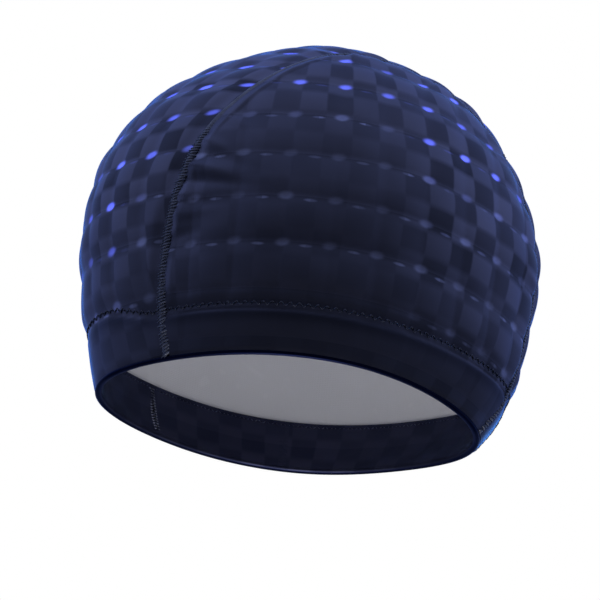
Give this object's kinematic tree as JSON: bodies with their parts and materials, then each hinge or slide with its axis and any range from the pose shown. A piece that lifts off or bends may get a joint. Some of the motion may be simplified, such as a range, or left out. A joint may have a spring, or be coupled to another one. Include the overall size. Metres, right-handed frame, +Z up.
{
  "type": "swim cap",
  "caption": "Stretch-fabric swim cap in its worn form: a center strip between side panels, raised seams, a plain lining and a turned-up hem.",
  "frame": {"origin": "centre of the head opening, in the plane of the rim", "axes": "+Z up as worn, through the crown; -Y towards the face, so +Y towards the nape; +X towards the wearer's left"},
  "size_m": [0.156, 0.195, 0.1682],
  "materials": {
    "stretch_fabric": "coated, satin sheen",
    "seam_thread": "stitched thread, dull",
    "lining_knit": "fine knit, matt"
  },
  "bodies": {
    "root": {"center_panel": "stretch_fabric", "side_panel_left": "stretch_fabric", "side_panel_right": "stretch_fabric", "seam_left": "seam_thread", "seam_right": "seam_thread", "lining": "lining_knit", "hem_facing": "stretch_fabric"}
  },
  "joints": []
}
